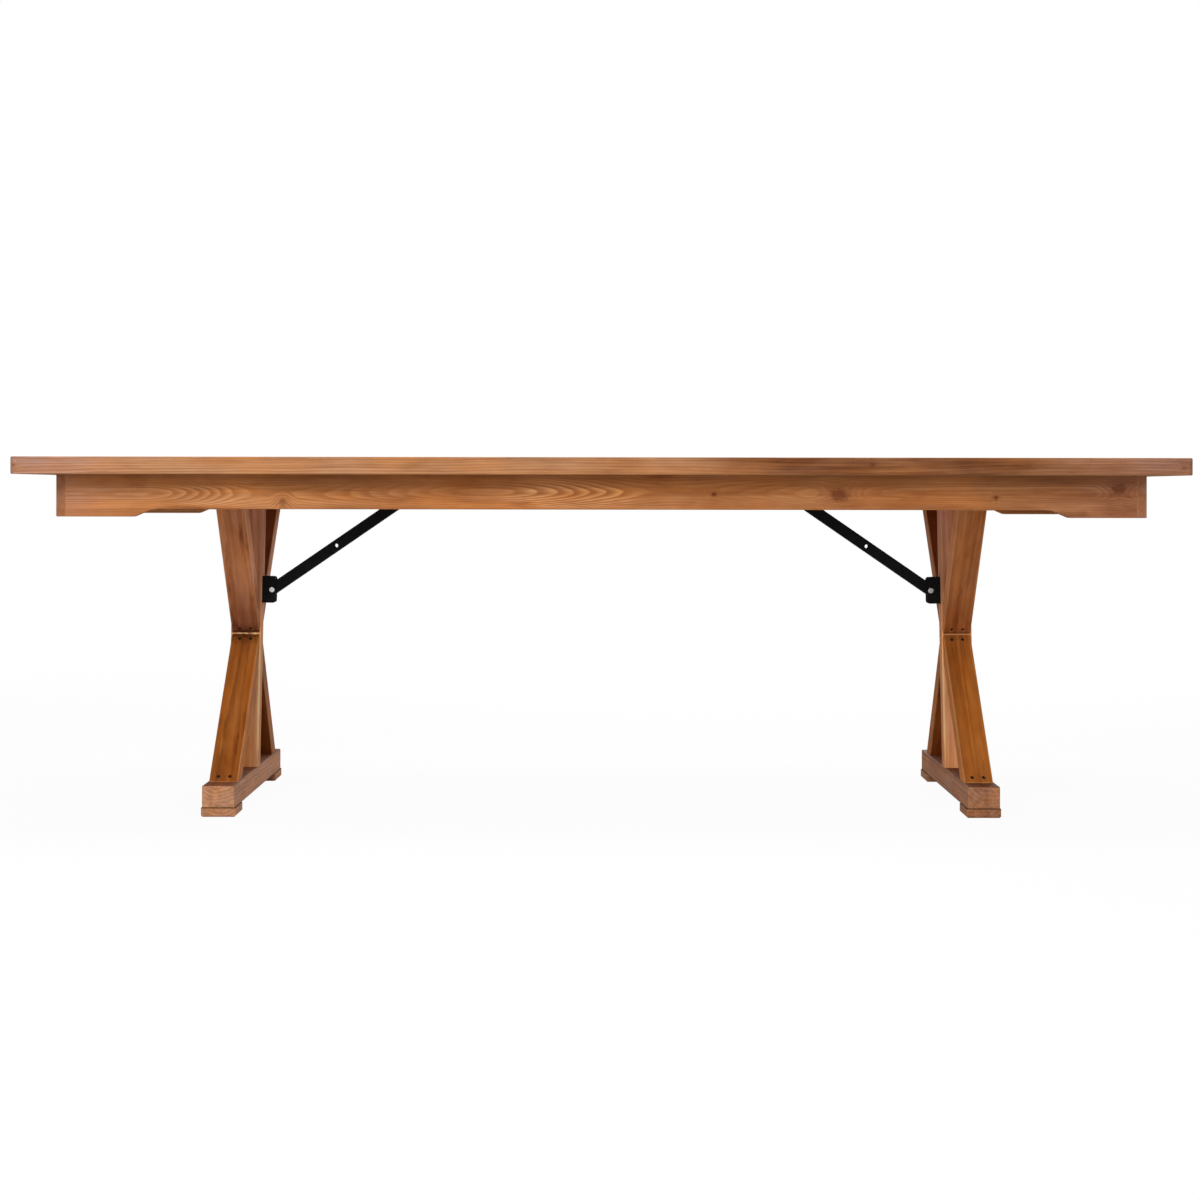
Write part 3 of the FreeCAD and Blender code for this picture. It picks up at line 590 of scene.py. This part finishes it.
def dress_planks():
    planks = sorted(name for name in nodes if name.startswith("plank"))
    for number, node in enumerate(planks):
        side = -1 if number % 2 else 1
        style = {
            "pith": [side * place for place in PLANK_PITH],
            "wander": PLANK_WANDER,
            "shade": 1.0 + PLANK_SHADE_CHANGE * math.sin(PLANK_SHADE_TURN * number),
            "knots": PLANK_KNOTS[number],
            "joints": [joint for joint, outer in ((-1, planks[0]), (1, planks[-1])) if node != outer],
        }
        if node == planks[0]:
            style.update(TOP_EDGE)
            style["knots"] += TOP_EDGE_KNOTS
        dress_wood(node, "top", SEED_STEP * number + PLANK_SEED, **style)


# Front apron. The ramps take its face in and out of the rings, which leaves nested arches there, and the
# figures are where the arches show best. The wide dark line is a painted shadow of the top's overhang.
FRONT_APRON = {
    "pith": (0.010, -0.012),
    "wander": 0.004,
    "contrast": 0.24,
    "squeeze": (-0.6, -0.3, 1.3, 1.25),
    "drift": (-0.6, -0.3, -0.006, 0.0),
    "ramps": (
        (-0.96, -0.70, 0.026),
        (-0.70, -0.24, -0.026),
        (-0.24, 0.14, 0.027),
        (0.14, 0.70, -0.027),
    ),
    "figures": (
        (-0.83, 0.085, 0.024, 0.28),
        (-0.06, 0.15, 0.028, 0.58),
    ),
    "knots": (
        Knot(0.236, 0.004, 0.0045, 0.8),
        Knot(0.498, 0.002, 0.016, 0.72),
        Knot(0.827, -0.002, 0.0045, 0.8),
        Knot(1.085, 0.015, 0.014, 0.66),
        Knot(-0.668, -0.013, 0.008, 0.6),
    ),
    "shade": 1.16,
    "blotch": 1.0,
    "patches": 0.34,
    "fades": ((-1.0, -0.7, -0.16), (0.3, 1.1, -0.16)),
    "tints": END_TINTS,
    "rub": Rub(0.06, RUB_WIDTH, RUBBED_COLOUR),
    # Painted shadow under the top's overhang: darker in a band along the apron's top edge
    "lines": (Line(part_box("apron_front")[1].z, 0.036, 0.012, 0.19, 0.0, DIRT_AND_SHADOW_COLOUR),),
}
REAR_APRON = {
    "pith": (0.0, 0.06),
    "wander": 0.02,
    # Painted light: the high shade lightens the rear apron, whose face under the table gets little light
    "shade": 1.3,
    "knots": (Knot(-0.55, 0.01, 0.009, 0.6), Knot(0.34, -0.012, 0.006, 0.7)),
}
END_APRON = {"pith": (0.004, 0.06), "wander": 0.02, "tints": ALL_ROSY}
END_APRON_KNOTS = {
    "apron_left_end": Knot(0.12, 0.01, 0.008, 0.7),
    "apron_right_end": Knot(-0.18, 0.01, 0.008, 0.7),
}
BATTEN = {"pith": (0.01, 0.07), "wander": 0.02}
UNRUBBED = Rub(0.0, RUB_WIDTH, RUBBED_COLOUR)


def dress_aprons():
    dress_wood("apron_front", "apron", FRONT_APRON_SEED, **FRONT_APRON)
    dress_wood("apron_rear", "apron", REAR_APRON_SEED, **REAR_APRON)
    for number, (node, knot) in enumerate(END_APRON_KNOTS.items()):
        dress_wood(node, "apron", END_APRON_SEED + SEED_STEP * number, knots=(knot,), **END_APRON)


def dress_battens():
    for number, node in enumerate(("left_hinge_batten", "centre_batten", "right_hinge_batten")):
        dress_wood(node, "batten", BATTEN_SEED + SEED_STEP * number, **BATTEN)
    dress_wood("corner_blocks", "batten", CORNER_BLOCK_SEED, rub=UNRUBBED)


# Lines where the arms meet, with their levels over the crossing: dirt round the seam, then its bare line
CHIPPED_SEAM = (
    Line(0.0, 0.026, 0.03, 0.34, 0.0, DIRT_AND_SHADOW_COLOUR),
    Line(0.0055, 0.0028, 0.018, 0.7, 0.0, DIRT_AND_SHADOW_COLOUR),
    Line(-0.0055, 0.003, 0.022, 0.6, 0.0, DIRT_AND_SHADOW_COLOUR),
    Line(0.0, 0.0021, 0.009, 0.85, 0.75, BARE_COLOUR),
)
CLEAN_SEAM = (
    Line(0.0, 0.018, 0.02, 0.16, 0.0, DIRT_AND_SHADOW_COLOUR),
    Line(0.004, 0.0016, 0.006, 0.4, 0.0, DIRT_AND_SHADOW_COLOUR),
    Line(0.0, 0.0015, 0.0012, 0.6, 0.3, RUBBED_COLOUR),
)

# Boards of a leg frame. Painted shade darkens an arm's inner face, and painted light pales its narrow sides.
LEG_PITH = (0.02, -0.08)
FOOT = {
    "ring": 0.009,
    "contrast": 0.36,
    "end_share": 0.04,
    "rub": Rub(0.1, RUB_WIDTH, RUBBED_COLOUR),
    "lines": (Line(pad_level, 0.0018, 0.0006, 0.85, 0.0, DIRT_AND_SHADOW_COLOUR),),
}
# Painted shade: the foot rails' top faces are darkened, as under the table little light reaches them
FOOT_TOP_PAINTED_SHADE = ((UP, 0.38),)
PAD_SHADE_SHARE = 0.94
# Posts: a stretch of their edges is worn and also carries a near-white painted highlight
POST = {
    "ring": 0.005,
    "contrast": 0.3,
    "fades": ((0.0, 0.15, 0.06),),
    "tints": ((0.0, 0.15, ROSY),),
    "worn": ((-0.13, 0.15, 0.2),),
}
POST_WEAR_AND_HIGHLIGHT_WIDTH = 0.0064
ARM = {
    "ring": 0.005,
    "contrast": 0.34,
    "blotch": 1.2,
    "patches": 0.62,
    "rub": Rub(0.42, 0.0036, RUBBED_COLOUR),
}
# Painted shade on the arms' inner faces, painted light on their narrow sides
FRONT_ARM_PAINTED_SHADING = ((BACK, 0.52), (RIGHT, 1.65), (LEFT, 1.65))
REAR_ARM_PAINTED_SHADING = ((FRONT, 0.52), (RIGHT, 1.15), (LEFT, 1.15))

# Upper arms reach the full shade at their tops. Lower arms darken towards the crossing by a share of what
# they lack of it at their feet.
FULL_ARM_SHADE = 1.1
UPPER_ARM_FADE = (-0.2, 0.05)
LOWER_ARM_FADE = (-0.05, 0.2)
LOWER_ARM_FADE_SHARE = 0.8


def dress_leg(side, seed, foot_shade, lower_arm_shade, upper_arm_shade, post_wear_and_highlight, seam):
    """Finish a leg frame's boards. The shade of an arm is the one at its lower end."""
    lines = tuple(line._replace(level=crossing_level + line.level) for line in seam)
    lower_change = LOWER_ARM_FADE_SHARE * (lower_arm_shade - FULL_ARM_SHADE)
    upper_change = FULL_ARM_SHADE - upper_arm_shade
    foot = {**FOOT, "shade": foot_shade}
    front_arm = {**ARM, "lines": lines, "turned": FRONT_ARM_PAINTED_SHADING}
    rear_arm = {**ARM, "lines": lines, "turned": REAR_ARM_PAINTED_SHADING}
    lower = {"shade": lower_arm_shade, "fades": ((*LOWER_ARM_FADE, lower_change),)}
    upper = {"shade": upper_arm_shade, "fades": ((*UPPER_ARM_FADE, upper_change),)}
    pieces = {
        "foot_rail": ("foot", {**foot, "turned": FOOT_TOP_PAINTED_SHADE}),
        "foot_pads": ("foot", {**foot, "shade": PAD_SHADE_SHARE * foot_shade}),
        "post": ("post", {**POST, "rub": Rub(post_wear_and_highlight, POST_WEAR_AND_HIGHLIGHT_WIDTH, WORN_AND_HIGHLIGHT_COLOUR)}),
        "front_lower_arm": ("lower_arm", {**front_arm, **lower}),
        "rear_lower_arm": ("lower_arm", {**rear_arm, **lower}),
        "front_upper_arm": (side + "_upper_arm", {**front_arm, **upper}),
        "rear_upper_arm": (side + "_upper_arm", {**rear_arm, **upper}),
        "top_rail": ("post", {}),
    }
    across, through = LEG_PITH
    for number, (piece, (stain, style)) in enumerate(pieces.items()):
        own_seed = seed + SEED_STEP * number
        pith = (across * math.sin(own_seed), through)
        dress_wood(side + "_" + piece, stain, own_seed, pith=pith, **style)


# Steel: features per metre of the noises in its finishes, the values of a noise between which a finish goes
# from one look to another, and the colours
PEEL_GRAIN = (900, 900, 900)
SCUFF_GRAIN = (60, 60, 60)
PHOSPHATE_GRAIN = (420, 420, 420)
SPANGLE_GRAIN = (260, 260, 260)
SCRATCH_GRAIN = (90, 2600, 2600)
DUST_RANGE = (0.08, 0.28)
BRIGHT_RANGE = (0.02, 0.3)
SPANGLE_RANGE = (-0.25, 0.25)
POWDER_BLACK = srgb(10, 9, 10)
POWDER_DUSTY = srgb(30, 27, 26)
PHOSPHATE_DARK = srgb(26, 22, 20)
PHOSPHATE_BRIGHT = srgb(62, 54, 48)
ZINC_DULL = srgb(132, 131, 128)
ZINC_BRIGHT = srgb(170, 168, 164)


def black_steel():
    """Black powder coat: a fine orange peel with a little dust and scuffing."""
    finish = Finish("black_powder_coat")
    place = finish.object_place()
    peel = finish.noise(place, PEEL_GRAIN, seed=1.0)
    scuff = finish.noise(place, SCUFF_GRAIN, seed=2.0, detail=4.0, roughness=0.65)
    dust = finish.smooth(scuff, *DUST_RANGE, high=0.7)
    finish.set(Base_Color=finish.mix(dust, POWDER_BLACK, POWDER_DUSTY), Specular_IOR_Level=0.08)
    finish.set(Roughness=finish.smooth(scuff, *NOISE_REACH, low=0.5, high=0.66))
    finish.bump(peel, distance=0.0002, strength=0.4)
    return finish


def dark_screw():
    """Black phosphate on screws, rubbed a little brighter by the driver."""
    finish = Finish("black_phosphate")
    patch = finish.noise(finish.object_place(), PHOSPHATE_GRAIN, seed=4.0, detail=3.0)
    bright = finish.smooth(patch, *BRIGHT_RANGE)
    finish.set(Base_Color=finish.mix(bright, PHOSPHATE_DARK, PHOSPHATE_BRIGHT), Metallic=0.5)
    finish.set(Roughness=finish.smooth(patch, *NOISE_REACH, low=0.45, high=0.65))
    finish.bump(patch, distance=0.0002, strength=0.3)
    return finish


def zinc_steel():
    """Bright zinc plate with a faint spangle and fine scratches."""
    finish = Finish("bright_zinc")
    place = finish.object_place()
    spangle = finish.noise(place, SPANGLE_GRAIN, seed=6.0)
    scratch = finish.noise(place, SCRATCH_GRAIN, seed=7.0)
    bright = finish.smooth(spangle, *SPANGLE_RANGE)
    finish.set(Base_Color=finish.mix(bright, ZINC_DULL, ZINC_BRIGHT), Metallic=1.0)
    finish.set(Roughness=finish.smooth(scratch, *NOISE_REACH, low=0.24, high=0.42))
    finish.bump(scratch, distance=0.0001, strength=0.3)
    return finish


def dress_hardware():
    finishes = {"black_steel": black_steel(), "dark_screws": dark_screw(), "zinc_steel": zinc_steel()}
    for part in frame["record"]["subparts"]:
        finish = finishes.get(part["material_slot"])
        if finish:
            dress(part["node"], finish)


# Stage: half the side of the floor, the distances where its shadow starts to fade and is gone, the colour
# that it throws back on the table, and how much of the shadow it shows
FLOOR_HALF = 30.0
FLOOR_NEAR = 2.0
FLOOR_FAR = 5.0
FLOOR_COLOUR = (0.55, 0.55, 0.55, 1.0)
FLOOR_SHADOW_SHARE = 0.05

# Studio light, with the power of the lamps in watts
WORLD_STRENGTH = 0.11
Softbox = namedtuple("Softbox", "name place target width height power")
SOFTBOXES = (
    Softbox("key_low", (-0.9, -4.0, 1.1), (-0.3, 0, 0.5), width=2.0, height=1.4, power=32),
    Softbox("key_high", (-0.7, -3.3, 2.3), (0, 0, 0.7), width=2.4, height=1.1, power=68),
    Softbox("fill_right", (2.8, -3.6, 1.2), (0.2, 0, 0.4), width=1.8, height=1.6, power=25),
    Softbox("overhead", (0, 0.5, 3.4), (0, 0.1, 0.7), width=3.0, height=1.4, power=55),
    Softbox("rear", (0.6, 4.4, 1.9), (0, 0, 0.6), width=2.4, height=1.6, power=90),
)


def seen_directly(tree):
    """One for rays that show the background: to the camera, in gloss or through glass."""
    path = tree.nodes.new("ShaderNodeLightPath")
    seen = path.outputs["Is Camera Ray"]
    for name in ("Is Glossy Ray", "Is Transmission Ray"):
        either = tree.nodes.new("ShaderNodeMath")
        either.operation = "MAXIMUM"
        tree.links.new(seen, either.inputs[0])
        tree.links.new(path.outputs[name], either.inputs[1])
        seen = either.outputs[0]
    return seen


def mix_shader(tree, share, first, second):
    node = tree.nodes.new("ShaderNodeMixShader")
    tree.links.new(share, node.inputs[0])
    tree.links.new(first, node.inputs[1])
    tree.links.new(second, node.inputs[2])
    return node.outputs[0]


def floor_material():
    """White floor that keeps a pale shadow near the table and fades into the white backdrop."""
    finish = Finish("floor_white")
    tree = finish.tree
    diffuse = finish.add("ShaderNodeBsdfDiffuse", {"Color": FLOOR_COLOUR})
    white = finish.add("ShaderNodeBsdfDiffuse", {"Color": WHITE})
    glow = finish.add("ShaderNodeEmission", {"Color": WHITE, "Strength": 1.0})
    clear = finish.add("ShaderNodeBsdfTransparent", {})
    distance = finish.vector("LENGTH", finish.object_place())
    plain = finish.smooth(distance, FLOOR_NEAR, FLOOR_FAR, 1 - FLOOR_SHADOW_SHARE, 1.0)
    pale = mix_shader(tree, plain, white.outputs[0], glow.outputs[0])
    shown = mix_shader(tree, seen_directly(tree), diffuse.outputs[0], pale)
    behind = tree.nodes.new("ShaderNodeNewGeometry").outputs["Backfacing"]
    surface = mix_shader(tree, behind, shown, clear.outputs[0])
    tree.links.new(surface, tree.nodes["Material Output"].inputs["Surface"])
    return finish.material


def make_floor():
    mesh = bpy.data.meshes.new("floor")
    side = FLOOR_HALF
    level = cad_box[0].z
    corners = [(-side, -side, level), (side, -side, level), (side, side, level), (-side, side, level)]
    mesh.from_pydata(corners, [], [(0, 1, 2, 3)])
    mesh.materials.append(floor_material())
    floor = bpy.data.objects.new("floor", mesh)
    bpy.context.scene.collection.objects.link(floor)


def make_world():
    """Soft light from all round, with a white background."""
    world = bpy.data.worlds.new("studio")
    bpy.context.scene.world = world
    world.use_nodes = True
    tree = world.node_tree
    light = tree.nodes["Background"]
    light.inputs["Color"].default_value = WHITE
    light.inputs["Strength"].default_value = WORLD_STRENGTH
    white = tree.nodes.new("ShaderNodeBackground")
    white.inputs["Color"].default_value = WHITE
    surface = mix_shader(tree, seen_directly(tree), light.outputs[0], white.outputs[0])
    tree.links.new(surface, tree.nodes["World Output"].inputs["Surface"])


def make_softbox(box):
    lamp = bpy.data.lights.new(box.name, "AREA")
    lamp.shape = "RECTANGLE"
    lamp.size = box.width
    lamp.size_y = box.height
    lamp.energy = box.power
    lamp.color = WHITE[:3]
    aim = Vector(box.target) - Vector(box.place)
    holder = bpy.data.objects.new(box.name, lamp)
    holder.location = box.place
    holder.rotation_euler = aim.to_track_quat("-Z", "Y").to_euler()
    bpy.context.scene.collection.objects.link(holder)


def make_camera():
    lens = bpy.data.cameras.new("camera")
    lens.lens = CAMERA_LENS
    lens.shift_x = (IMAGE_SIDE / 2 - MIDDLE_COLUMN) / IMAGE_SIDE
    lens.shift_y = (HORIZON_ROW - IMAGE_SIDE / 2) / IMAGE_SIDE
    camera = bpy.data.objects.new("camera", lens)
    camera.location = CAMERA_PLACE
    camera.rotation_euler = (math.pi / 2, CAMERA_ROLL, 0)
    bpy.context.scene.collection.objects.link(camera)
    bpy.context.scene.camera = camera


dress_planks()
dress_aprons()
dress_battens()
dress_leg("left", seed=60.0, foot_shade=1.06, lower_arm_shade=0.9, upper_arm_shade=0.56, post_wear_and_highlight=1.0,
          seam=CHIPPED_SEAM)
dress_leg("right", seed=90.0, foot_shade=0.74, lower_arm_shade=0.98, upper_arm_shade=0.93, post_wear_and_highlight=0.6,
          seam=CLEAN_SEAM)
dress_hardware()
make_floor()
make_world()
for box in SOFTBOXES:
    make_softbox(box)
make_camera()
bpy.context.scene.view_settings.view_transform = "Standard"
